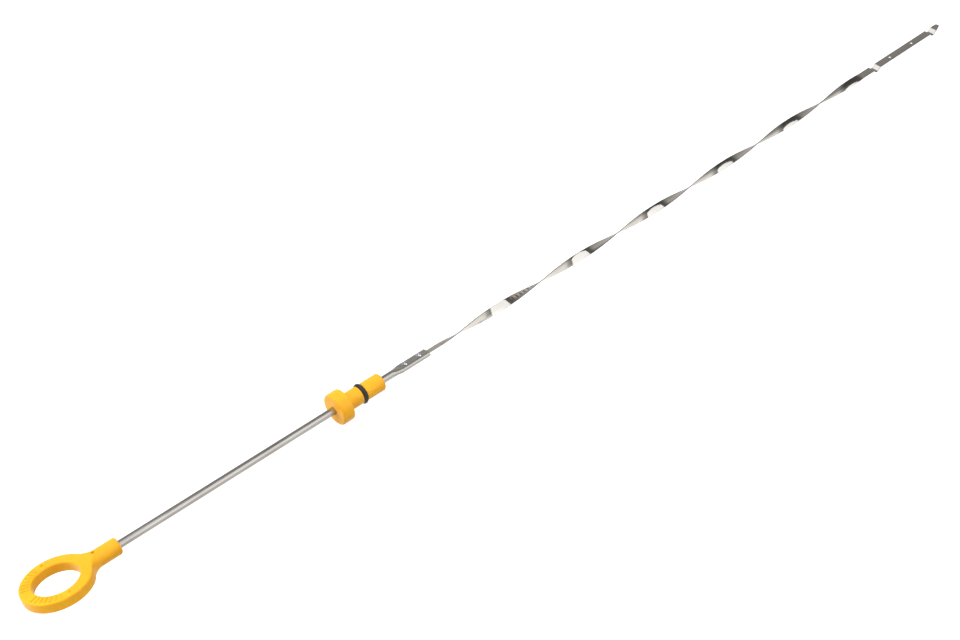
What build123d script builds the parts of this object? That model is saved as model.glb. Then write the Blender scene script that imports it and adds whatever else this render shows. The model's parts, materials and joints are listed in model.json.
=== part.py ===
from build123d import *
import math
import os

# Engine oil dipstick: a moulded pull ring on a steel tube, a stopper with a sealing ring part of the
# way along it, and a twisted steel blade riveted into the tube's flattened end.
#
# The pieces are drawn about the tube's axis, which is X, with the centre of the pull ring at X = 0. The
# dipstick is then laid down as it comes to rest, on the stopper's flange and the two crimps of the blade,
# with the origin at the bottom centre of its box. The slender blade sags between them, so its marked end
# lies level. All lengths are in millimetres, and angles in degrees.

# Pull ring
RING_OUTER_D = 36.6
FINGER_HOLE_D = 23.8
RING_THICKNESS = 5.9
RING_EDGE_R = 0.9
NECK_FLANK_R = 7.0
NECK_INSET = 0.15
NECK_SECTIONS = 6
NECK_SEAM_ANGLE = 1.5
COLLAR_D = 9.3
COLLAR_REACH = 34.0
COLLAR_EDGE_R = 1.2
HANDLE_ROLL = 17.0

# Gate mark on the neck and pin marks on the ring face
GATE_MARK_D = 1.8
GATE_MARK_X = 21.0
GATE_MARK_DEPTH = 0.9
PIN_MARK_D = 1.6
PIN_MARK_DEPTH = 0.35

# Tube
TUBE_D = 4.25
TUBE_WALL = 0.9
TUBE_INSET = 18.0
FLAT_X = 208.4
FLAT_TRANSITION = 5.5
FLAT_WIDTH = 7.0
FLAT_WALL = 1.2
FLAT_END_X = 233.6

# Stopper
STOPPER_X = 168.0
FLANGE_D = 18.6
FLANGE_LENGTH = 7.3
FLANGE_FRONT_R = 1.2
FLANGE_BACK_R = 0.7
PLUG_D = 10.3
PLUG_LENGTH = 25.0
PLUG_NOSE_R = 1.1

# Sealing ring and its groove
SEAL_SECTION = 2.62
SEAL_PROUD = 0.85
SEAL_FROM_FLANGE = 11.1

# Rivets
RIVET_X = 218.1
RIVET_PITCH = 10.1
RIVET_SHANK_D = 1.8
RIVET_HEAD_D = 3.6
RIVET_HEAD_HEIGHT = 1.0
RIVET_DIMPLE_D = 1.5
RIVET_DIMPLE_DEPTH = 0.5

# Blade
BLADE_WIDTH = 5.1
BLADE_THICKNESS = 0.45
ROOT_WIDTH = 3.7
TANG_LENGTH = 17.4
ROOT_LENGTH = 9.55
HALF_TURNS = 6
HALF_TURN_LENGTH = 65.2
TWIST_SECTION_ANGLE = 30.0

# Marked end of the blade, with offsets measured back from its tip
CRIMP_OFFSETS = (75.0, 10.0)
CRIMP_LENGTH = 7.0
CRIMP_FLOOR = 1.6
CRIMP_DEPTH = 2.35
CRIMP_BEND_R = 0.9
MARK_HOLE_OFFSETS = (57.8, 32.8)
MARK_HOLE_D = 1.7
END_LENGTH = 89.0
NIB_R = 1.7
NIB_OFFSET = 0.8

# Clearances
BORE_CLEARANCE = 0.03
TANG_CLEARANCE = 0.05
RIVET_CLEARANCE = 0.05
SEAL_SIDE_CLEARANCE = 0.15
SEAL_SEAT_CLEARANCE = 0.02

# Derived sizes
TUBE_R = TUBE_D / 2
FLAT_THICKNESS = BLADE_THICKNESS + 2 * (TANG_CLEARANCE + FLAT_WALL)
TUBE_START_X = COLLAR_REACH - TUBE_INSET
FLANGE_BACK_X = STOPPER_X + FLANGE_LENGTH
PLUG_END_X = FLANGE_BACK_X + PLUG_LENGTH
SEAL_X = FLANGE_BACK_X + SEAL_FROM_FLANGE
GROOVE_R = PLUG_D / 2 + SEAL_PROUD - SEAL_SECTION - SEAL_SEAT_CLEARANCE
GROOVE_WIDTH = SEAL_SECTION + 2 * SEAL_SIDE_CLEARANCE
TWIST_X = FLAT_END_X + ROOT_LENGTH
TWIST_ANGLE = 180 * HALF_TURNS - HANDLE_ROLL
TWIST_LENGTH = HALF_TURN_LENGTH * TWIST_ANGLE / 180

# The tube slopes down from the flange and the blade levels out along an arc, so that the marked end is
# level when the flange and the crimps share one surface. Both angles are the same by that condition.
CRIMP_DROP = CRIMP_DEPTH + BLADE_THICKNESS / 2
LAY_TILT = math.degrees((FLANGE_D / 2 - CRIMP_DROP) / (TWIST_X - FLANGE_BACK_X + TWIST_LENGTH / 2))
SAG_R = TWIST_LENGTH / math.radians(LAY_TILT)


def roll(shape):
    """Return the shape turned about X from the ring's plane to where the handle lies."""
    return Rot(X=-HANDLE_ROLL) * shape


def rod(radius, start, end):
    """Return a solid rod along X."""
    return Pos(start, 0, 0) * Rot(Y=90) * extrude(Circle(radius), end - start)


def pull_ring():
    """Return the moulded ring, with the neck that grips the tube and the marks of its mould."""
    ring = extrude(Circle(RING_OUTER_D / 2) - Circle(FINGER_HOLE_D / 2), RING_THICKNESS / 2, both=True)
    ring = fillet(ring.edges(), RING_EDGE_R)
    body = ring + neck()
    end_rim = body.edges().filter_by(GeomType.CIRCLE).sort_by(Axis.X)[-1]
    body = fillet(end_rim, COLLAR_EDGE_R)

    body -= rod(TUBE_R + BORE_CLEARANCE, TUBE_START_X, COLLAR_REACH)
    gate_mark = extrude(Circle(GATE_MARK_D / 2), COLLAR_D)
    body -= Pos(GATE_MARK_X, 0, COLLAR_D / 2 - GATE_MARK_DEPTH) * gate_mark
    pin_mark = extrude(Circle(PIN_MARK_D / 2), RING_THICKNESS)
    mark_r = (RING_OUTER_D + FINGER_HOLE_D) / 4
    for side in (-1, 1):
        body -= Pos(0, side * mark_r, RING_THICKNESS / 2 - PIN_MARK_DEPTH) * pin_mark
    return roll(body)


def neck():
    """Return the neck: a flat bar with hollow flanks where it leaves the ring, then a round collar."""
    ring_r = RING_OUTER_D / 2
    collar_r = COLLAR_D / 2
    flank_y = collar_r + NECK_FLANK_R
    collar_x = math.sqrt((ring_r + NECK_FLANK_R) ** 2 - flank_y**2)
    leave_x = collar_x * ring_r / (ring_r + NECK_FLANK_R)
    buried_x = FINGER_HOLE_D / 2 + RING_EDGE_R
    sections = []
    for step in range(NECK_SECTIONS):
        share = step / NECK_SECTIONS
        swell = share**2 * (3 - 2 * share)
        x = buried_x + share * (collar_x - buried_x)
        if x < leave_x:
            half_width = math.sqrt((ring_r - NECK_INSET) ** 2 - x**2)
        else:
            half_width = flank_y - math.sqrt(NECK_FLANK_R**2 - (collar_x - x) ** 2)
        half_height = RING_THICKNESS / 2 + swell * (collar_r - RING_THICKNESS / 2)
        corner_r = RING_EDGE_R + swell * (half_height - RING_EDGE_R)
        bar = RectangleRounded(2 * half_width, 2 * half_height, corner_r)
        sections.append(Pos(x, 0, 0) * (Plane.YZ * bar))
    sections.append(Pos(collar_x, 0, 0) * (Plane.YZ * seamed_circle(collar_r)))
    return loft(sections) + rod(collar_r, collar_x, COLLAR_REACH)


def seamed_circle(radius):
    """Return a circle cut into eight arcs, which match the sides and corners of a rounded bar."""
    turns = [90 * quarter + side * NECK_SEAM_ANGLE for quarter in range(4) for side in (-1, 1)]
    spans = [(end - start) % 360 for start, end in zip(turns, turns[1:] + turns[:1])]
    return make_face([CenterArc((0, 0), radius, start, span) for start, span in zip(turns, spans)])


def tube():
    """Return the steel tube, round for most of its length and pressed flat over the blade's tang.

    Its wall is gathered, so thicker, in the flat.
    """
    mouth = Plane(origin=(FLAT_X, 0, 0), x_dir=(0, 1, 0), z_dir=(1, 0, 0))
    across = mouth.offset(FLAT_TRANSITION)
    forms = []
    for inset, flat_inset in ((0, 0), (TUBE_WALL, FLAT_WALL)):
        slot = across * SlotOverall(FLAT_WIDTH - 2 * flat_inset, FLAT_THICKNESS - 2 * flat_inset)
        pressing = loft([mouth * Circle(TUBE_R - inset), slot])
        flat_run = extrude(slot, FLAT_END_X - FLAT_X - FLAT_TRANSITION)
        forms.append(rod(TUBE_R - inset, TUBE_START_X, FLAT_X) + pressing + flat_run)
    shell = forms[0] - forms[1]
    for hole in rivet_places(RIVET_SHANK_D / 2 + RIVET_CLEARANCE):
        shell -= hole
    return roll(shell)


def rivet_places(radius):
    """Return a rod across the flat at each rivet."""
    across = extrude(Circle(radius), FLAT_WIDTH, both=True)
    return [Pos(RIVET_X + step * RIVET_PITCH, 0, 0) * across for step in (0, 1)]


def stopper():
    """Return the moulded stopper: a flange to pull against and a grooved plug that fills the guide."""
    flange_r = FLANGE_D / 2
    plug_r = PLUG_D / 2
    bore_r = TUBE_R + BORE_CLEARANCE
    groove_front = SEAL_X - GROOVE_WIDTH / 2
    groove_back = SEAL_X + GROOVE_WIDTH / 2
    profile = Polyline(
        (STOPPER_X, bore_r),
        (STOPPER_X, flange_r),
        (FLANGE_BACK_X, flange_r),
        (FLANGE_BACK_X, plug_r),
        (groove_front, plug_r),
        (groove_front, GROOVE_R),
        (groove_back, GROOVE_R),
        (groove_back, plug_r),
        (PLUG_END_X, plug_r),
        (PLUG_END_X, bore_r),
        close=True,
    )
    section = make_face(profile)
    corners = section.vertices()

    def corner(x, radius):
        return corners.sort_by_distance((x, radius, 0))[0]

    section = fillet(corner(STOPPER_X, flange_r), FLANGE_FRONT_R)
    corners = section.vertices()
    section = fillet(corner(FLANGE_BACK_X, flange_r), FLANGE_BACK_R)
    corners = section.vertices()
    section = fillet(corner(PLUG_END_X, plug_r), PLUG_NOSE_R)
    return revolve(section, Axis.X)


def sealing_ring():
    """Return the rubber ring in the stopper's groove."""
    middle_r = GROOVE_R + SEAL_SEAT_CLEARANCE + SEAL_SECTION / 2
    return Pos(SEAL_X, 0, 0) * Rot(Y=90) * Torus(middle_r, SEAL_SECTION / 2)


def rivets():
    """Return the two rivets, each a shank with a dimpled dome on both faces of the flat."""
    shank_r = RIVET_SHANK_D / 2
    head_r = RIVET_HEAD_D / 2
    seat = FLAT_THICKNESS / 2
    crown = seat + RIVET_HEAD_HEIGHT
    dome_r = (head_r**2 + RIVET_HEAD_HEIGHT**2) / (2 * RIVET_HEAD_HEIGHT)
    dome_span = math.degrees(math.asin(head_r / dome_r))
    upper = CenterArc((0, crown - dome_r), dome_r, 90 - dome_span, dome_span)
    lower = CenterArc((0, dome_r - crown), dome_r, 270, dome_span)
    shank = Polyline((head_r, -seat), (shank_r, -seat), (shank_r, seat), (head_r, seat))
    axis = Line((0, crown), (0, -crown))
    rivet = revolve(Plane.XZ * make_face([upper, axis, lower, shank]), Axis.Z)
    dimple_r = (RIVET_DIMPLE_D**2 / 4 + RIVET_DIMPLE_DEPTH**2) / (2 * RIVET_DIMPLE_DEPTH)
    for side in (-1, 1):
        rivet -= Pos(0, 0, side * (crown - RIVET_DIMPLE_DEPTH + dimple_r)) * Sphere(dimple_r)
    return roll(Pos(RIVET_X, 0, 0) * rivet + Pos(RIVET_X + RIVET_PITCH, 0, 0) * rivet)


def blade():
    """Return the blade: narrow root riveted in the tube, left-handed twist, and the marked end."""
    root_end = Pos(TWIST_X, 0, 0) * (Plane.YZ * Rectangle(ROOT_WIDTH, BLADE_THICKNESS))
    root = extrude(root_end, -ROOT_LENGTH - TANG_LENGTH)
    for hole in rivet_places(RIVET_SHANK_D / 2 + RIVET_CLEARANCE):
        root -= hole
    steps = math.ceil(TWIST_ANGLE / TWIST_SECTION_ANGLE)
    widths = [ROOT_WIDTH] + [BLADE_WIDTH] * steps
    strips = [Plane.YZ * Rectangle(width, BLADE_THICKNESS) for width in widths]
    twist = loft([along_sag(step / steps) * strip for step, strip in enumerate(strips)])
    return roll(root) + twist + along_sag(1) * marked_end()


def along_sag(share):
    """Return the place of the blade's section at a share of the twist, turned and on the sagging line."""
    rise = LAY_TILT * share
    x = TWIST_X + SAG_R * math.sin(math.radians(rise))
    z = SAG_R * (1 - math.cos(math.radians(rise)))
    return Pos(x, 0, z) * Rot(Y=-rise) * Rot(X=-HANDLE_ROLL - TWIST_ANGLE * share)


def marked_end():
    """Return the flat end of the blade from X = 0: strip folded at the crimps, with two holes and a nib."""
    points = [(0, 0)]
    for offset in CRIMP_OFFSETS:
        middle = END_LENGTH - offset
        points += [
            (middle - CRIMP_LENGTH / 2, 0),
            (middle - CRIMP_FLOOR / 2, -CRIMP_DEPTH),
            (middle + CRIMP_FLOOR / 2, -CRIMP_DEPTH),
            (middle + CRIMP_LENGTH / 2, 0),
        ]
    points.append((END_LENGTH, 0))
    fold = trace(FilletPolyline(*points, radius=CRIMP_BEND_R), BLADE_THICKNESS)
    folded = extrude(Plane.XZ * fold, BLADE_WIDTH, both=True)

    nib_x = END_LENGTH - CRIMP_OFFSETS[-1] + CRIMP_LENGTH / 2
    half = BLADE_WIDTH / 2
    body = Polyline((nib_x, -half), (0, -half), (0, half), (nib_x, half), close=True)
    nose = Pos(END_LENGTH - NIB_R, NIB_OFFSET) * Circle(NIB_R)
    end = folded & extrude(make_hull(body.edges() + nose.edges()), BLADE_WIDTH, both=True)
    for offset in MARK_HOLE_OFFSETS:
        end -= Pos(END_LENGTH - offset, 0, 0) * extrude(Circle(MARK_HOLE_D / 2), BLADE_WIDTH, both=True)
    return end


def lay_down(nodes):
    """Return the nodes turned to lie at rest, with the origin at the bottom centre of their box."""
    tilted = {name: Rot(Y=LAY_TILT) * shape for name, shape in nodes.items()}
    box = Compound(list(tilted.values())).bounding_box()
    shift = Pos(-box.center().X, -box.center().Y, -box.min.Z)
    return {name: shift * shape for name, shape in tilted.items()}


def main():
    """Build every node, lay the dipstick down and write one file for each node."""
    os.makedirs("parts", exist_ok=True)
    nodes = {
        "pull_ring": pull_ring(),
        "tube": tube(),
        "stopper": stopper(),
        "sealing_ring": sealing_ring(),
        "rivets": rivets(),
        "blade": blade(),
    }
    for name, shape in lay_down(nodes).items():
        export_step(shape, f"parts/{name}.step")


if __name__ == "__main__":
    main()
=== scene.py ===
"""Looks of an engine oil dipstick, dressed on its solid model and set on a pale floor."""

import json
import logging
import math
from dataclasses import dataclass
from enum import Enum

import bmesh
import bpy
from mathutils import Matrix, Vector

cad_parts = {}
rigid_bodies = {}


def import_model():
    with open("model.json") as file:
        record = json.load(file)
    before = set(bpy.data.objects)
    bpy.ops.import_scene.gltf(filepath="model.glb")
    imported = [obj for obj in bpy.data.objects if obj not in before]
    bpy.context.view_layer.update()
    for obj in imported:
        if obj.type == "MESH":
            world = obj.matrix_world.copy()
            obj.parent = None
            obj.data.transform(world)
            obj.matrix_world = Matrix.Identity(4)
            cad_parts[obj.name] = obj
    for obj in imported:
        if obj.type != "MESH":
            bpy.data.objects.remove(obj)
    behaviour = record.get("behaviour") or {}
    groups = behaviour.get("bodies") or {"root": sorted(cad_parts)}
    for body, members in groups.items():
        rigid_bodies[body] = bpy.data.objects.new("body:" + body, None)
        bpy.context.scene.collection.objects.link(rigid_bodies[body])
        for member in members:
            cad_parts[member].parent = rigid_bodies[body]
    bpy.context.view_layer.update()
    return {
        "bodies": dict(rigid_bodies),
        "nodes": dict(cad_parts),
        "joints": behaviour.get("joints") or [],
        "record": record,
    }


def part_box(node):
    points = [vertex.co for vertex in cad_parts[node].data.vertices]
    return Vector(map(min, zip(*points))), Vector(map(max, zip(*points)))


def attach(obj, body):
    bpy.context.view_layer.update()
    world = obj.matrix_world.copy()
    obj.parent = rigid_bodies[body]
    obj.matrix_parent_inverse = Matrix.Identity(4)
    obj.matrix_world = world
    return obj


LOG = logging.getLogger("dipstick")
ROOT_BODY = "root"

# The turn of the ring, the flat and the blade's root about the tube, in degrees.
HANDLE_ROLL = 17.0

Colour = tuple[float, float, float]
Point = tuple[float, float, float]
Span = tuple[float, float]
Socket = bpy.types.NodeSocket

UNIT: Span = (0.0, 1.0)


class Node(Enum):
    """The solid pieces of the dipstick."""

    PULL_RING = "pull_ring"
    TUBE = "tube"
    STOPPER = "stopper"
    SEALING_RING = "sealing_ring"
    RIVETS = "rivets"
    BLADE = "blade"


@dataclass(frozen=True)
class TubeLine:
    """The tube's own line, from the middle of the finger hole towards the tip."""

    middle: Vector
    slope: float

    @classmethod
    def of(cls, record: dict) -> "TubeLine":
        """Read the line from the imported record.

        Args:
            record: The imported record, with the finger hole's box and the plug's axis.

        Returns:
            The line.
        """
        low, high = (Vector(corner) for corner in record["physics"]["openings"][0]["box_m"])
        along = record["mounts"][0]["axis"]
        return cls((low + high) / 2, math.atan2(-along[2], along[0]))

    def home(self, roll: float = 0.0) -> Matrix:
        """Return the turn and shift from a frame along the tube to the model.

        Args:
            roll: The frame's turn about the tube, in degrees.

        Returns:
            The matrix from that frame to the model.
        """
        turn = Matrix.Rotation(self.slope, 4, "Y") @ Matrix.Rotation(math.radians(roll), 4, "X")
        return Matrix.Translation(self.middle) @ turn

    def along(self, node: Node) -> float:
        """Return how far along the line the middle of a solid piece is.

        Args:
            node: The piece.

        Returns:
            The distance from the middle of the finger hole, in metres.
        """
        low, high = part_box(node.value)
        return (self.home().inverted() @ ((low + high) / 2)).x


class Graph:
    """A node tree that is filled by naming nodes and what feeds their inputs."""

    def __init__(self, tree: bpy.types.NodeTree) -> None:
        """Hold the tree that the nodes go into."""
        self.tree = tree

    def feed(self, node: bpy.types.Node, feeds: dict) -> bpy.types.Node:
        """Set or link a node's inputs.

        Args:
            node: The node.
            feeds: A value or an output socket for each input, by the input's name or index.

        Returns:
            The same node.
        """
        for name, value in feeds.items():
            if isinstance(value, Socket):
                self.tree.links.new(value, node.inputs[name])
            else:
                node.inputs[name].default_value = value
        return node

    def add(self, kind: str, feeds: dict | None = None, **settings: object) -> bpy.types.Node:
        """Add a node.

        Args:
            kind: The node's type name.
            feeds: What goes into its inputs, as feed takes it.
            **settings: Properties of the node.

        Returns:
            The new node.
        """
        node = self.tree.nodes.new(kind)
        for name, value in settings.items():
            setattr(node, name, value)
        return self.feed(node, feeds or {})

    def group(self, effect: bpy.types.NodeTree, feeds: dict) -> bpy.types.Node:
        """Add a shared effect.

        Args:
            effect: The effect's node group.
            feeds: What goes into its inputs, as feed takes it.

        Returns:
            The node that holds the effect.
        """
        node = self.tree.nodes.new("ShaderNodeGroup")
        node.node_tree = effect
        return self.feed(node, feeds)

    def sum_up(self, operation: str, *values: float | Socket) -> Socket:
        """Work out a number.

        Args:
            operation: The kind of sum, as the Math node names it.
            *values: Its numbers, or output sockets.

        Returns:
            The result.
        """
        node = self.add("ShaderNodeMath", dict(enumerate(values)), operation=operation)
        return node.outputs["Value"]

    def combine(self, operation: str, feeds: dict, output: str = "Vector") -> Socket:
        """Work out a sum of vectors.

        Args:
            operation: The kind of sum, as the Vector Math node names it.
            feeds: What goes into its inputs, as feed takes it.
            output: The name of the output to take.

        Returns:
            The result.
        """
        return self.add("ShaderNodeVectorMath", feeds, operation=operation).outputs[output]

    def turn_about_x(self, vector: Socket, angle: Socket) -> Socket:
        """Return a vector turned about X by an angle in radians."""
        feeds = {"Vector": vector, "Angle": angle}
        return self.add("ShaderNodeVectorRotate", feeds, rotation_type="X_AXIS").outputs["Vector"]

    def parts(self, vector: Socket) -> dict[str, Socket]:
        """Return the X, Y and Z of a vector by those names."""
        node = self.add("ShaderNodeSeparateXYZ", {"Vector": vector})
        return {name: node.outputs[name] for name in "XYZ"}

    def noise(self, vector: Socket, scale: float | Socket, detail: float) -> Socket:
        """Return a noise pattern, from 0 to 1."""
        feeds = {"Vector": vector, "Scale": scale, "Detail": detail}
        return self.add("ShaderNodeTexNoise", feeds).outputs["Fac"]

    def ramp(self, mask: Socket, start: Span, end: Span, soft: bool = False) -> Socket:
        """Return a number that follows another from one span to another, and stays inside it.

        Args:
            mask: The number to follow.
            start: Where it begins and ends.
            end: What these become.
            soft: Whether it eases in and out.

        Returns:
            The new number.
        """
        feeds = {"Value": mask}
        feeds["From Min"], feeds["From Max"] = start
        feeds["To Min"], feeds["To Max"] = end
        kind = "SMOOTHSTEP" if soft else "LINEAR"
        return self.add("ShaderNodeMapRange", feeds, interpolation_type=kind).outputs["Result"]

    def blend(self, mask: Socket, low: Colour | Socket, high: Colour | Socket) -> Socket:
        """Return a colour that goes from low to high with a mask.

        Args:
            mask: The mask, from 0 to 1.
            low: The colour where the mask is 0.
            high: The colour where it is 1.

        Returns:
            The mixed colour.
        """
        ends = [end if isinstance(end, Socket) else (*end, 1.0) for end in (low, high)]
        node = self.add("ShaderNodeMix", {0: mask, 6: ends[0], 7: ends[1]}, data_type="RGBA")
        return node.outputs[2]

    def relief(self, heights: list[tuple[Socket, float]], smooth: Socket | None = None) -> Socket:
        """Return a normal bent by a relief.

        Args:
            heights: Masks from 0 to 1, each with the height of 1 in metres.
            smooth: The normal to bend, if it isn't the surface's own.

        Returns:
            The bent normal.
        """
        total = self.sum_up("MULTIPLY", *heights[0])
        for mask, height in heights[1:]:
            total = self.sum_up("MULTIPLY_ADD", mask, height, total)
        feeds = {"Distance": 1.0, "Height": total}
        if smooth:
            feeds["Normal"] = smooth
        return self.add("ShaderNodeBump", feeds).outputs["Normal"]


class Effects:
    """Surface effects that more than one finish uses, each a node group built once."""

    cloud_detail: float = 4.0
    cloud_edges: Span = (0.32, 0.68)
    grain_detail: float = 2.0
    broad_detail: float = 1.0
    fine_scale: float = 4.0
    fine_detail: float = 3.0

    def __init__(self) -> None:
        """Build every effect."""
        self.mottle = self._mottle()
        self.streaks = self._streaks()
        self.ridge = self._ridge()

    @staticmethod
    def _group(
        name: str,
        inputs: dict[str, float | Point],
        outputs: tuple[str, ...],
    ) -> bpy.types.NodeTree:
        """Start a node group.

        Args:
            name: The group's name.
            inputs: The inputs and their defaults, each a number or a vector.
            outputs: The names of the number outputs.

        Returns:
            The empty group with its sockets.
        """
        tree = bpy.data.node_groups.new(name, "ShaderNodeTree")
        for label, value in inputs.items():
            kind = "NodeSocketVector" if isinstance(value, tuple) else "NodeSocketFloat"
            socket = tree.interface.new_socket(label, in_out="INPUT", socket_type=kind)
            socket.default_value = value
        for label in outputs:
            tree.interface.new_socket(label, in_out="OUTPUT", socket_type="NodeSocketFloat")
        return tree

    def _mottle(self) -> bpy.types.NodeTree:
        """Build a soft cloudy mask and a fine grain.

        Returns:
            The group.
        """
        inputs = {"Vector": (0.0, 0.0, 0.0), "Cloud Scale": 60.0, "Grain Scale": 2500.0}
        tree = self._group("mottle", inputs, ("Cloud", "Grain"))
        graph = Graph(tree)
        entry = graph.add("NodeGroupInput").outputs
        cloud = graph.noise(entry["Vector"], entry["Cloud Scale"], self.cloud_detail)
        grain = graph.noise(entry["Vector"], entry["Grain Scale"], self.grain_detail)
        soft_cloud = graph.ramp(cloud, self.cloud_edges, UNIT, soft=True)
        graph.add("NodeGroupOutput", {"Cloud": soft_cloud, "Grain": grain})
        return tree

    def _streaks(self) -> bpy.types.NodeTree:
        """Build drawn lines, broad and fine, that run where the pattern is stretched least.

        Returns:
            The group.
        """
        inputs = {"Vector": (0.0, 0.0, 0.0), "Stretch": (6.0, 1500.0, 1500.0)}
        tree = self._group("streaks", inputs, ("Broad", "Fine"))
        graph = Graph(tree)
        entry = graph.add("NodeGroupInput").outputs
        drawn = graph.combine("MULTIPLY", {0: entry["Vector"], 1: entry["Stretch"]})
        broad = graph.noise(drawn, 1.0, self.broad_detail)
        fine = graph.noise(drawn, self.fine_scale, self.fine_detail)
        graph.add("NodeGroupOutput", {"Broad": broad, "Fine": fine})
        return tree

    def _ridge(self) -> bpy.types.NodeTree:
        """Build a narrow round ridge, which a parting line leaves on a moulding.

        Returns:
            The group.
        """
        tree = self._group("ridge", {"Distance": 0.0, "Width": 0.0002}, ("Ridge",))
        graph = Graph(tree)
        entry = graph.add("NodeGroupInput").outputs
        away = graph.sum_up("DIVIDE", graph.sum_up("ABSOLUTE", entry["Distance"]), entry["Width"])
        ridge = graph.ramp(away, UNIT, (1.0, 0.0), soft=True)
        graph.add("NodeGroupOutput", {"Ridge": ridge})
        return tree


class Finish:
    """A surface finish, which makes one material.

    Each finish has a name, and the scales of its clouds and its grain in patches for each metre.
    """

    name: str
    cloud_scale: float
    grain_scale: float

    def material(self, effects: Effects) -> bpy.types.Material:
        """Return the finish as a material.

        Args:
            effects: The shared surface effects.

        Returns:
            A material with its nodes.
        """
        made = bpy.data.materials.new(self.name)
        made.use_nodes = True
        made.node_tree.nodes.clear()
        graph = Graph(made.node_tree)
        place = graph.add("ShaderNodeTexCoord").outputs["Object"]
        shader = graph.add("ShaderNodeBsdfPrincipled", self.inputs(graph, place, effects))
        graph.add("ShaderNodeOutputMaterial", {"Surface": shader.outputs["BSDF"]})
        return made

    def inputs(self, graph: Graph, place: Socket, effects: Effects) -> dict:
        """Build the nodes that feed the shader.

        Args:
            graph: The material's node tree.
            place: Object coordinates.
            effects: The shared surface effects.

        Returns:
            A value or an output socket for each input of the shader that the finish sets.
        """
        raise NotImplementedError

    def mottled(self, graph: Graph, place: Socket, effects: Effects) -> tuple[Socket, Socket]:
        """Return the finish's cloudy mask and its grain.

        Args:
            graph: The material's node tree.
            place: The coordinates that they follow.
            effects: The shared surface effects.

        Returns:
            The two masks, each from 0 to 1.
        """
        feeds = {"Vector": place, "Cloud Scale": self.cloud_scale, "Grain Scale": self.grain_scale}
        node = graph.group(effects.mottle, feeds)
        return node.outputs["Cloud"], node.outputs["Grain"]

    @staticmethod
    def own_place(graph: Graph, place: Socket, home: Matrix) -> Socket:
        """Return coordinates in a piece's own frame.

        Args:
            graph: The material's node tree.
            place: Object coordinates.
            home: The matrix from the piece's frame to the model.

        Returns:
            The coordinates, in metres.
        """
        feeds = {"Vector": place, "Location": home.to_translation(), "Rotation": home.to_euler()}
        return graph.add("ShaderNodeMapping", feeds, vector_type="TEXTURE").outputs["Vector"]


@dataclass(frozen=True)
class MouldedPlastic(Finish):
    """Satin plastic with slight flow marks, a moulded grain, tool lines and a parting line."""

    name: str
    home: Matrix
    tool_lines: Point
    light: Colour = (0.79, 0.38, 0.003)
    deep: Colour = (0.73, 0.33, 0.002)
    roughness: Span = (0.34, 0.46)
    shine: float = 0.28
    sheen: float = 0.3
    sheen_roughness: float = 0.35
    cloud_scale: float = 90.0
    grain_scale: float = 2600.0
    grain_depth: float = 0.00003
    line_depth: float = 0.00006
    seam_width: float = 0.00016
    seam_height: float = 0.00006

    def inputs(self, graph: Graph, place: Socket, effects: Effects) -> dict:
        """Build the nodes that feed the shader.

        Args:
            graph: The material's node tree.
            place: Object coordinates.
            effects: The shared surface effects.

        Returns:
            A value or an output socket for each input of the shader that the finish sets.
        """
        own = self.own_place(graph, place, self.home)
        cloud, grain = self.mottled(graph, own, effects)
        lines = graph.group(effects.streaks, {"Vector": own, "Stretch": self.tool_lines})
        seam = graph.group(effects.ridge, {"Distance": graph.parts(own)["Z"], "Width": self.seam_width})
        heights = [
            (grain, self.grain_depth),
            (lines.outputs["Broad"], self.line_depth),
            (seam.outputs["Ridge"], self.seam_height),
        ]
        return {
            "Base Color": graph.blend(cloud, self.light, self.deep),
            "Roughness": graph.ramp(cloud, UNIT, self.roughness),
            "Normal": graph.relief(heights),
            "Specular IOR Level": self.shine,
            "Sheen Weight": self.sheen,
            "Sheen Roughness": self.sheen_roughness,
        }


@dataclass(frozen=True)
class DrawnSteel(Finish):
    """Bright steel with fine drawn lines and a faint cloudiness."""

    name: str
    home: Matrix
    light: Colour = (0.48, 0.47, 0.455)
    dull: Colour = (0.41, 0.397, 0.38)
    roughness: Span = (0.2, 0.36)
    cloud_scale: float = 45.0
    grain_scale: float = 900.0
    stretch: Point = (5.0, 1400.0, 1400.0)
    line_edges: Span = (0.3, 0.7)
    line_depth: float = 0.00002

    def inputs(self, graph: Graph, place: Socket, effects: Effects) -> dict:
        """Build the nodes that feed the shader.

        Args:
            graph: The material's node tree.
            place: Object coordinates.
            effects: The shared surface effects.

        Returns:
            A value or an output socket for each input of the shader that the finish sets.
        """
        own = self.own_place(graph, place, self.home)
        cloud, _ = self.mottled(graph, own, effects)
        streaks = graph.group(effects.streaks, {"Vector": own, "Stretch": self.stretch})
        return {
            "Base Color": graph.blend(cloud, self.light, self.dull),
            "Roughness": graph.ramp(streaks.outputs["Fine"], self.line_edges, self.roughness),
            "Normal": graph.relief([(streaks.outputs["Broad"], self.line_depth)]),
            "Metallic": 1.0,
        }


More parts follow.
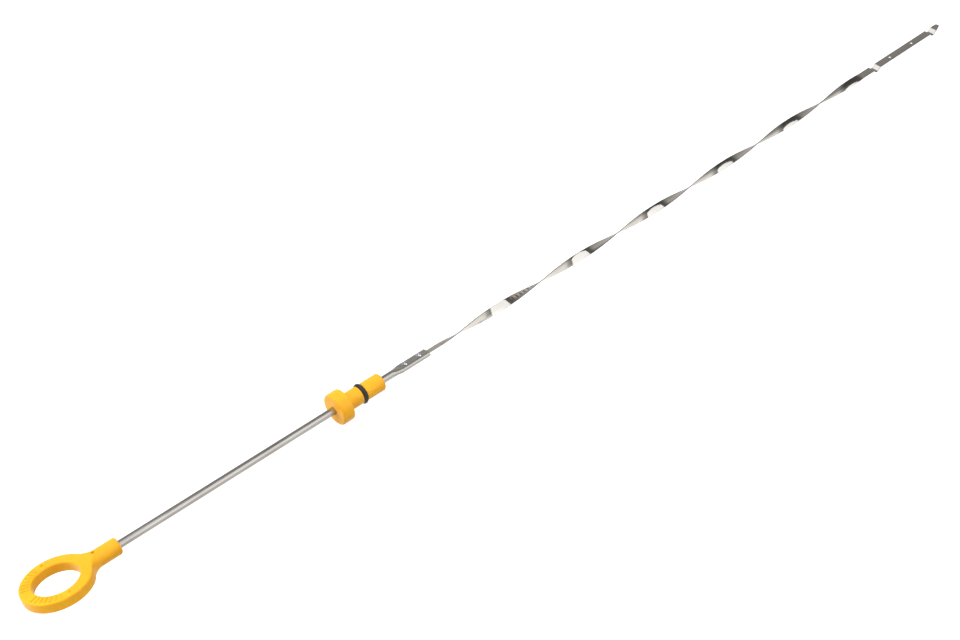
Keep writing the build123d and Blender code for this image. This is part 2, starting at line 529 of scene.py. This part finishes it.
@dataclass(frozen=True)
class RolledStrip(Finish):
    """Bright strip rolled along its length, with duller cut edges and a row of ink ticks.

    The strip is twisted along a sagging line, so its pattern is turned back to the flat strip first.
    """

    name: str
    twist: Span
    turns: Span
    end_height: float
    sag_radius: float
    half_width: float
    tick_start: float
    tick_count: int = 7
    tick_pitch: float = 0.003
    tick_share: float = 0.34
    tick_reach: float = 0.0012
    light: Colour = (0.66, 0.645, 0.62)
    dull: Colour = (0.53, 0.515, 0.485)
    edge: Colour = (0.13, 0.125, 0.12)
    ink: Colour = (0.055, 0.026, 0.011)
    roughness: Span = (0.06, 0.12)
    mark_roughness: float = 0.32
    cloud_scale: float = 40.0
    grain_scale: float = 900.0
    cloud_wear: float = 0.4
    line_edges: Span = (0.35, 0.65)
    line_wear: Span = (0.0, 0.6)
    stretch: Point = (4.0, 2200.0, 0.0)
    line_depth: float = 0.000002
    rim: Span = (0.00014, 0.00004)
    face_match: float = 0.9

    def turn_back(self, graph: Graph, along: Socket) -> Socket:
        """Return the turn that takes the twist out, at a place along the strip."""
        return graph.ramp(along, self.twist, self.turns)

    def flat_place(self, graph: Graph, place: Socket) -> Socket:
        """Return coordinates on the strip as it was before it was twisted.

        Args:
            graph: The material's node tree.
            place: Object coordinates.

        Returns:
            The length along the model, the distance across the strip and the height off its middle.
        """
        part = graph.parts(place)
        short = graph.sum_up("MAXIMUM", graph.sum_up("SUBTRACT", self.twist[1], part["X"]), 0.0)
        rise = graph.sum_up("DIVIDE", graph.sum_up("MULTIPLY", short, short), 2 * self.sag_radius)
        height = graph.sum_up("SUBTRACT", part["Z"], graph.sum_up("ADD", rise, self.end_height))
        section = graph.add("ShaderNodeCombineXYZ", {"X": part["X"], "Y": part["Y"], "Z": height})
        return graph.turn_about_x(section.outputs["Vector"], self.turn_back(graph, part["X"]))

    def smooth_face(self, graph: Graph, flat: dict[str, Socket]) -> Socket:
        """Return the normal that the twist gives a face, and elsewhere the surface's own.

        Args:
            graph: The material's node tree.
            flat: The X, Y and Z on the flat strip.

        Returns:
            The normal.
        """
        rate = (self.turns[1] - self.turns[0]) / (self.twist[1] - self.twist[0])
        across = graph.sum_up("MULTIPLY", flat["Y"], rate)
        level = graph.add("ShaderNodeCombineXYZ", {"X": across, "Z": 1.0})
        back = graph.sum_up("MULTIPLY", self.turn_back(graph, flat["X"]), -1.0)
        leaning = graph.turn_about_x(level.outputs["Vector"], back)
        face = graph.combine("NORMALIZE", {0: leaning})
        own = graph.add("ShaderNodeNewGeometry").outputs["Normal"]
        match = graph.combine("DOT_PRODUCT", {0: face, 1: own}, "Value")
        outward = graph.combine("SCALE", {0: face, "Scale": graph.sum_up("SIGN", match)})
        near = graph.sum_up("GREATER_THAN", graph.sum_up("ABSOLUTE", match), self.face_match)
        middle = (self.twist[0] + self.twist[1]) / 2
        reach = (self.twist[1] - self.twist[0]) / 2
        twisted = graph.sum_up("COMPARE", flat["X"], middle, reach)
        feeds = {0: graph.sum_up("MULTIPLY", near, twisted), 4: own, 5: outward}
        return graph.add("ShaderNodeMix", feeds, data_type="VECTOR").outputs[1]

    def tick_mask(self, graph: Graph, flat: dict[str, Socket]) -> Socket:
        """Return a mask of short bars across one face.

        Args:
            graph: The material's node tree.
            flat: The X, Y and Z on the flat strip.

        Returns:
            The mask, 1 on a bar.
        """
        start = graph.sum_up("SUBTRACT", flat["X"], self.tick_start)
        along = graph.sum_up("DIVIDE", start, self.tick_pitch)
        bar = graph.sum_up("LESS_THAN", graph.sum_up("FRACT", along), self.tick_share)
        middle = graph.sum_up("SUBTRACT", along, self.tick_count / 2)
        inside = graph.sum_up("LESS_THAN", graph.sum_up("ABSOLUTE", middle), self.tick_count / 2)
        near = graph.sum_up("LESS_THAN", graph.sum_up("ABSOLUTE", flat["Y"]), self.tick_reach)
        face = graph.sum_up("LESS_THAN", flat["Z"], 0.0)
        row = graph.sum_up("MULTIPLY", bar, inside)
        return graph.sum_up("MULTIPLY", graph.sum_up("MULTIPLY", row, near), face)

    def inputs(self, graph: Graph, place: Socket, effects: Effects) -> dict:
        """Build the nodes that feed the shader.

        Args:
            graph: The material's node tree.
            place: Object coordinates.
            effects: The shared surface effects.

        Returns:
            A value or an output socket for each input of the shader that the finish sets.
        """
        own = self.flat_place(graph, place)
        flat = graph.parts(own)
        cloud, _ = self.mottled(graph, own, effects)
        streaks = graph.group(effects.streaks, {"Vector": own, "Stretch": self.stretch})
        ticks = self.tick_mask(graph, flat)
        rim = (self.half_width - self.rim[0], self.half_width - self.rim[1])
        cut = graph.ramp(graph.sum_up("ABSOLUTE", flat["Y"]), rim, UNIT, soft=True)
        lines = graph.ramp(streaks.outputs["Fine"], self.line_edges, self.line_wear)
        worn = graph.sum_up("MULTIPLY_ADD", cloud, self.cloud_wear, lines)
        steel = graph.blend(worn, self.light, self.dull)
        rolled = graph.ramp(cloud, UNIT, self.roughness)
        marks = graph.sum_up("MAXIMUM", cut, ticks)
        rolling = [(streaks.outputs["Broad"], self.line_depth)]
        return {
            "Base Color": graph.blend(ticks, graph.blend(cut, steel, self.edge), self.ink),
            "Roughness": graph.sum_up("MULTIPLY_ADD", marks, self.mark_roughness, rolled),
            "Normal": graph.relief(rolling, self.smooth_face(graph, flat)),
            "Metallic": graph.sum_up("SUBTRACT", 1.0, ticks),
        }


@dataclass(frozen=True)
class MouldedRubber(Finish):
    """Black rubber with a slight bloom and the line of its mould."""

    name: str
    home: Matrix
    seam_at: float
    light: Colour = (0.012, 0.012, 0.016)
    bloom: Colour = (0.022, 0.022, 0.027)
    roughness: Span = (0.32, 0.5)
    cloud_scale: float = 220.0
    grain_scale: float = 3500.0
    grain_depth: float = 0.00002
    seam_width: float = 0.00012
    seam_height: float = 0.00005

    def inputs(self, graph: Graph, place: Socket, effects: Effects) -> dict:
        """Build the nodes that feed the shader.

        Args:
            graph: The material's node tree.
            place: Object coordinates.
            effects: The shared surface effects.

        Returns:
            A value or an output socket for each input of the shader that the finish sets.
        """
        own = self.own_place(graph, place, self.home)
        cloud, grain = self.mottled(graph, own, effects)
        away = graph.sum_up("SUBTRACT", graph.parts(own)["X"], self.seam_at)
        seam = graph.group(effects.ridge, {"Distance": away, "Width": self.seam_width})
        heights = [(grain, self.grain_depth), (seam.outputs["Ridge"], self.seam_height)]
        return {
            "Base Color": graph.blend(cloud, self.light, self.bloom),
            "Roughness": graph.ramp(cloud, UNIT, self.roughness),
            "Normal": graph.relief(heights),
        }


@dataclass(frozen=True)
class PaleFloor(Finish):
    """Plain pale paper, which glows to the camera alone so that it looks white."""

    name: str = "pale_floor"
    light: Colour = (0.42, 0.42, 0.42)
    deep: Colour = (0.4, 0.4, 0.4)
    glow: Colour = (0.86, 0.86, 0.86)
    cloud_scale: float = 3.0
    grain_scale: float = 400.0
    roughness: float = 0.9
    shine: float = 0.1

    def inputs(self, graph: Graph, place: Socket, effects: Effects) -> dict:
        """Build the nodes that feed the shader.

        Args:
            graph: The material's node tree.
            place: Object coordinates.
            effects: The shared surface effects.

        Returns:
            A value or an output socket for each input of the shader that the finish sets.
        """
        cloud, _ = self.mottled(graph, place, effects)
        seen = graph.add("ShaderNodeLightPath").outputs["Is Camera Ray"]
        return {
            "Base Color": graph.blend(cloud, self.light, self.deep),
            "Roughness": self.roughness,
            "Specular IOR Level": self.shine,
            "Emission Color": (*self.glow, 1.0),
            "Emission Strength": seen,
        }


@dataclass
class Bench:
    """What each sub-assembly is dressed with: the loaded model, its tube's line and the effects."""

    frame: dict
    line: TubeLine
    effects: Effects

    def dress(self, node: Node, finish: Finish) -> bpy.types.Material:
        """Give a solid piece its finish.

        Args:
            node: The piece.
            finish: Its finish.

        Returns:
            The material that it got.
        """
        material = finish.material(self.effects)
        piece = self.frame["nodes"][node.value]
        for slot in piece.material_slots:
            slot.material = material
        LOG.info("%s dressed, %d faces", node.value, len(piece.data.polygons))
        return material

    def add(self, name: str, shape: bmesh.types.BMesh, material: bpy.types.Material, slot: str) -> None:
        """Make a new piece of the dipstick from a shape, which is freed.

        Args:
            name: The piece's name.
            shape: Its shape, in the model's place.
            material: Its material.
            slot: The record's finish that it belongs to; it is not used.
        """
        mesh = bpy.data.meshes.new(name)
        bmesh.ops.recalc_face_normals(shape, faces=shape.faces)
        shape.to_mesh(mesh)
        shape.free()
        mesh.materials.append(material)
        piece = bpy.data.objects.new(name, mesh)
        bpy.context.scene.collection.objects.link(piece)
        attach(piece, ROOT_BODY)
        LOG.info("%s added, %d faces", name, len(mesh.polygons))


@dataclass
class PullRing:
    """The moulded finger ring, with raised grip ribs on its upper face."""

    slot: str = "yellow_plastic"
    tool_lines: Point = (8.0, 8.0, 1500.0)
    thickness: float = 0.0059
    rib_radius: float = 0.0151
    rib_size: Point = (0.0038, 0.0009, 0.0006)
    rib_proud: float = 0.0004
    rib_round: float = 0.00025
    rib_turns: tuple[float, ...] = (18.0, 27.0, 36.0, 45.0, 54.0, 63.0, 72.0)

    def build(self, bench: Bench) -> None:
        """Dress the ring and add its ribs.

        Args:
            bench: What the ring is dressed with.
        """
        home = bench.line.home(-HANDLE_ROLL)
        plastic = bench.dress(Node.PULL_RING, MouldedPlastic("ring_plastic", home, self.tool_lines))
        bench.add("grip_ribs", self._ribs(home), plastic, self.slot)

    def _ribs(self, home: Matrix) -> bmesh.types.BMesh:
        """Return two rows of short round-edged ribs, set on the ring's face away from the neck.

        Args:
            home: The matrix from the ring's frame to the model.

        Returns:
            The ribs.
        """
        shape = bmesh.new()
        middle = self.thickness / 2 + self.rib_proud - self.rib_size[2] / 2
        out = Matrix.Translation((self.rib_radius, 0, middle)) @ Matrix.Diagonal((*self.rib_size, 1.0))
        for turn in [180 + side * turn for side in (-1, 1) for turn in self.rib_turns]:
            spoke = Matrix.Rotation(math.radians(turn), 4, "Z")
            bmesh.ops.create_cube(shape, size=1.0, matrix=home @ spoke @ out)
        bmesh.ops.bevel(
            shape,
            geom=shape.edges[:],
            offset=self.rib_round,
            affect="EDGES",
            segments=2,
            profile=0.5,
            material=-1,
        )
        return shape


@dataclass
class Tube:
    """The drawn steel tube."""

    def build(self, bench: Bench) -> None:
        """Dress the tube, given what it is dressed with."""
        bench.dress(Node.TUBE, DrawnSteel("tube_steel", bench.line.home(-HANDLE_ROLL)))


@dataclass
class Stopper:
    """The moulded stopper on the tube and the rubber ring in its groove."""

    tool_lines: Point = (1400.0, 8.0, 8.0)

    def build(self, bench: Bench) -> None:
        """Dress the stopper and its ring.

        Args:
            bench: What they are dressed with.
        """
        home = bench.line.home()
        bench.dress(Node.STOPPER, MouldedPlastic("stopper_plastic", home, self.tool_lines))
        seal_at = bench.line.along(Node.SEALING_RING)
        bench.dress(Node.SEALING_RING, MouldedRubber("seal_rubber", home, seal_at))


@dataclass
class Blade:
    """The twisted blade with its marked end, and the rivets that hold it."""

    half_turns: int = 6
    half_turn_length: float = 0.0652
    end_length: float = 0.089
    end_height: float = 0.002575
    half_width: float = 0.00255
    ticks_from_root: float = 0.05579
    rivet_light: Colour = (0.74, 0.78, 0.84)
    rivet_dull: Colour = (0.58, 0.62, 0.68)
    rivet_roughness: Span = (0.14, 0.26)
    rivet_stretch: Point = (300.0, 600.0, 600.0)

    def build(self, bench: Bench) -> None:
        """Dress the blade and its rivets.

        Args:
            bench: What they are dressed with.
        """
        bench.dress(Node.BLADE, self._strip(bench.line.slope))
        rivet_steel = DrawnSteel(
            "rivet_steel",
            bench.line.home(),
            light=self.rivet_light,
            dull=self.rivet_dull,
            roughness=self.rivet_roughness,
            stretch=self.rivet_stretch,
        )
        bench.dress(Node.RIVETS, rivet_steel)

    def _strip(self, slope: float) -> RolledStrip:
        """Return the blade's finish, with the twist where the solid blade has it.

        The twist leaves the tube at the tube's slope and ends level, on an arc.

        Args:
            slope: The tube's slope, in radians.

        Returns:
            The finish.
        """
        last_turn = 180.0 * self.half_turns
        length = self.half_turn_length * (last_turn - HANDLE_ROLL) / 180.0
        sag_radius = length / slope
        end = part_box(Node.BLADE.value)[1].x - self.end_length
        start = end - sag_radius * math.sin(slope)
        return RolledStrip(
            "blade_steel",
            twist=(start, end),
            turns=(math.radians(HANDLE_ROLL), math.radians(last_turn)),
            end_height=self.end_height,
            sag_radius=sag_radius,
            half_width=self.half_width,
            tick_start=start + self.ticks_from_root,
        )


@dataclass(frozen=True)
class Softbox:
    """An area light."""

    name: str
    place: Point
    aim: Point
    size: Span
    watts: float
    in_reflections: bool = True
    on_matt: bool = True

    def build(self) -> None:
        """Add the light to the scene, aimed."""
        data = bpy.data.lights.new(self.name, "AREA")
        data.shape = "RECTANGLE"
        data.size, data.size_y = self.size
        data.energy = self.watts
        light = bpy.data.objects.new(self.name, data)
        light.location = self.place
        aim = Vector(self.aim) - Vector(self.place)
        light.rotation_euler = aim.to_track_quat("-Z", "Y").to_euler()
        light.visible_glossy = self.in_reflections
        light.visible_diffuse = self.on_matt
        bpy.context.scene.collection.objects.link(light)


@dataclass(frozen=True)
class Band:
    """Shades of the room, for looks that lean along the dipstick by one amount.

    Each shade has its turn about the dipstick in degrees: 0 is level behind it, 90 is up,
    180 and -180 are level in front of it, and -90 is down.
    """

    lean: float
    shades: tuple[Span, ...]


@dataclass(frozen=True)
class Room:
    """The room that shows in the steel: pale in front and below, dark overhead, dim behind."""

    tone: Colour = (1.0, 0.965, 0.915)
    bands: tuple[Band, ...] = (
        Band(
            -0.2,
            (
                (-180.0, 0.6),
                (-165.0, 1.0),
                (-60.0, 1.1),
                (-20.0, 0.95),
                (5.0, 0.45),
                (55.0, 0.3),
                (78.0, 0.15),
                (110.0, 0.15),
                (160.0, 0.4),
                (180.0, 0.6),
            ),
        ),
        Band(
            0.33,
            (
                (-180.0, 1.1),
                (-165.0, 1.0),
                (-152.0, 0.62),
                (-138.0, 1.1),
                (-60.0, 1.15),
                (-40.0, 0.5),
                (0.0, 0.45),
                (55.0, 0.34),
                (75.0, 0.2),
                (100.0, 0.12),
                (158.0, 0.7),
                (170.0, 1.1),
                (180.0, 1.1),
            ),
        ),
        Band(
            0.42,
            (
                (-180.0, 0.6),
                (-170.0, 1.2),
                (-160.0, 1.36),
                (-60.0, 1.36),
                (-42.0, 0.62),
                (0.0, 0.54),
                (55.0, 0.31),
                (78.0, 0.13),
                (100.0, 0.12),
                (160.0, 0.25),
                (180.0, 0.6),
            ),
        ),
        Band(
            0.51,
            (
                (-180.0, 0.6),
                (-170.0, 1.1),
                (-160.0, 1.25),
                (-60.0, 1.25),
                (-42.0, 0.72),
                (0.0, 0.68),
                (60.0, 0.58),
                (78.0, 0.15),
                (100.0, 0.12),
                (160.0, 0.25),
                (180.0, 0.6),
            ),
        ),
        Band(
            0.6,
            (
                (-180.0, 0.55),
                (-170.0, 0.95),
                (-160.0, 1.1),
                (-60.0, 1.1),
                (-42.0, 0.66),
                (0.0, 0.62),
                (58.0, 0.48),
                (78.0, 0.13),
                (100.0, 0.1),
                (160.0, 0.2),
                (180.0, 0.55),
            ),
        ),
        Band(
            0.72,
            (
                (-180.0, 0.2),
                (-160.0, 0.35),
                (-60.0, 0.4),
                (-42.0, 0.4),
                (0.0, 0.45),
                (55.0, 0.32),
                (75.0, 0.11),
                (100.0, 0.08),
                (160.0, 0.08),
                (180.0, 0.2),
            ),
        ),
    )

    def build(self) -> None:
        """Make the room the world of the scene."""
        world = bpy.data.worlds.new("room")
        world.use_nodes = True
        graph = Graph(world.node_tree)
        way = graph.parts(graph.add("ShaderNodeTexCoord").outputs["Generated"])
        turn = graph.sum_up("ARCTAN2", way["Z"], way["Y"])
        share = graph.ramp(turn, (-math.pi, math.pi), UNIT)
        colour = self._shades(graph, share, self.bands[0])
        for near, far in zip(self.bands, self.bands[1:]):
            lean = graph.ramp(way["X"], (near.lean, far.lean), UNIT)
            colour = graph.blend(lean, colour, self._shades(graph, share, far))
        graph.feed(world.node_tree.nodes["Background"], {"Color": colour})
        bpy.context.scene.world = world

    def _shades(self, graph: Graph, share: Socket, band: Band) -> Socket:
        """Return the colours of one band.

        Args:
            graph: The world's node tree.
            share: The turn about the dipstick, from 0 to 1.
            band: The band.

        Returns:
            The colours.
        """
        node = graph.add("ShaderNodeValToRGB", {"Fac": share})
        stops = node.color_ramp.elements
        while len(stops) < len(band.shades):
            stops.new(1.0)
        for stop, (turn, shade) in zip(stops, band.shades):
            stop.position = (turn + 180.0) / 360.0
            stop.color = (*(shade * tone for tone in self.tone), 1.0)
        return node.outputs["Color"]


@dataclass
class Studio:
    """The floor, the lights and the camera."""

    camera_place: Point = (-0.47015, -0.44526, 0.59432)
    camera_aim: Point = (-0.07167, 0.0047, 0.0)
    camera_roll: float = -1.116
    lens: float = 54.98
    sensor_width: float = 36.0
    clip_start: float = 0.01
    floor_side: float = 20.0
    room: Room = Room()
    lights: tuple[Softbox, ...] = (
        Softbox("side_softbox", (0.5, -0.72, 0.96), (0.5, 0.0, 0.0), (1.4, 1.7), 10.3, on_matt=False),
        Softbox("top_softbox", (-0.5, 0.4, 1.5), (-0.5, 0.4, 0.0), (1.2, 1.2), 5.5),
        Softbox("top_fill", (0.1, 0.4, 1.8), (0.1, 0.0, 0.0), (2.6, 2.6), 44.0, in_reflections=False),
        Softbox("front_fill", (0.8, -1.0, 0.8), (-0.1, 0.0, 0.0), (1.6, 1.0), 12.5, in_reflections=False),
        Softbox("left_fill", (-1.3, 0.6, 0.6), (-0.2, 0.0, 0.0), (2.4, 1.6), 31.0, in_reflections=False),
    )

    def build(self, effects: Effects) -> None:
        """Build the studio.

        Args:
            effects: The shared surface effects.
        """
        self._floor(effects)
        self.room.build()
        for light in self.lights:
            light.build()
        self._camera()
        bpy.context.scene.view_settings.view_transform = "Standard"
        LOG.info("studio built, %d lights", len(self.lights))

    def _floor(self, effects: Effects) -> None:
        """Lay the floor under the dipstick, out of reflections, where the room's shades stand for it.

        Args:
            effects: The shared surface effects.
        """
        mesh = bpy.data.meshes.new("floor")
        shape = bmesh.new()
        bmesh.ops.create_grid(shape, x_segments=1, y_segments=1, size=self.floor_side / 2)
        shape.to_mesh(mesh)
        shape.free()
        mesh.materials.append(PaleFloor().material(effects))
        floor = bpy.data.objects.new("floor", mesh)
        bpy.context.scene.collection.objects.link(floor)
        floor.visible_glossy = False

    def _camera(self) -> None:
        """Place the camera."""
        data = bpy.data.cameras.new("camera")
        data.sensor_fit = "HORIZONTAL"
        data.sensor_width = self.sensor_width
        data.lens = self.lens
        data.clip_start = self.clip_start
        camera = bpy.data.objects.new("camera", data)
        camera.location = self.camera_place
        aim = Vector(self.camera_aim) - Vector(self.camera_place)
        roll = Matrix.Rotation(math.radians(self.camera_roll), 3, "Z")
        camera.rotation_euler = (aim.to_track_quat("-Z", "Y").to_matrix() @ roll).to_euler()
        bpy.context.scene.collection.objects.link(camera)
        bpy.context.scene.camera = camera


def main() -> None:
    """Dress the dipstick and set it in the studio."""
    logging.basicConfig(level=logging.INFO, format="%(name)s %(message)s")
    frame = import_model()
    bench = Bench(frame, TubeLine.of(frame["record"]), Effects())
    for assembly in (PullRing(), Tube(), Stopper(), Blade()):
        assembly.build(bench)
    Studio().build(bench.effects)


if __name__ == "__main__":
    main()
